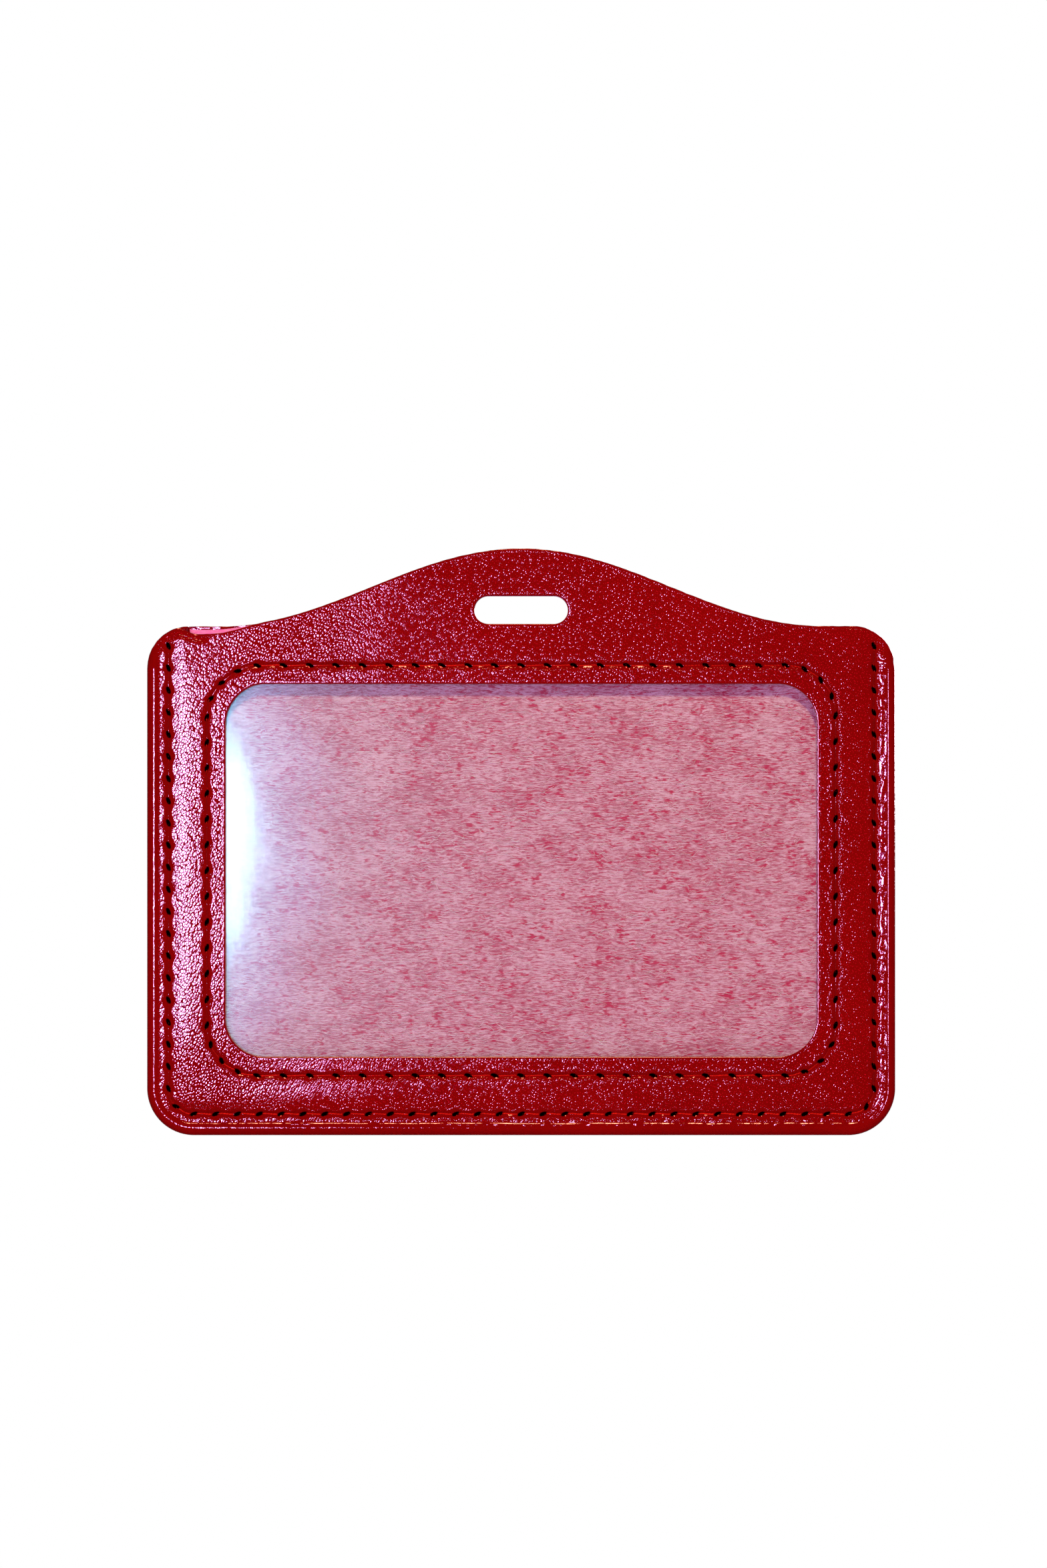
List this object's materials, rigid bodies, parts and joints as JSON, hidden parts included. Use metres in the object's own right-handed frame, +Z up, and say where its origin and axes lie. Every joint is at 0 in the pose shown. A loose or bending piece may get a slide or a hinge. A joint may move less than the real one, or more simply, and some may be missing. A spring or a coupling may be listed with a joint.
{
  "type": "badge holder",
  "caption": "Flat sewn badge holder with a clear landscape window, an open top with a wavy edge and a slot for a lanyard.",
  "frame": {"origin": "middle of the lanyard slot, halfway through the holder's depth", "axes": "+Z up as the holder hangs, +X to the right seen from the front, the window faces -Y"},
  "size_m": [0.112, 0.0036, 0.0878],
  "materials": {
    "coat": "glossy pebble-grain imitation leather",
    "fleece": "matt nonwoven fleece with red showing through",
    "film": "clear glossy film",
    "thread": "twisted sewing thread with a soft sheen"
  },
  "bodies": {
    "root": {"front_panel": "coat", "front_backing": "fleece", "window_film": "film", "window_needle_thread": "thread", "window_bobbin_thread": "thread", "back_panel": "coat", "back_backing": "fleece", "edge_needle_thread": "thread", "edge_bobbin_thread": "thread"}
  },
  "joints": []
}
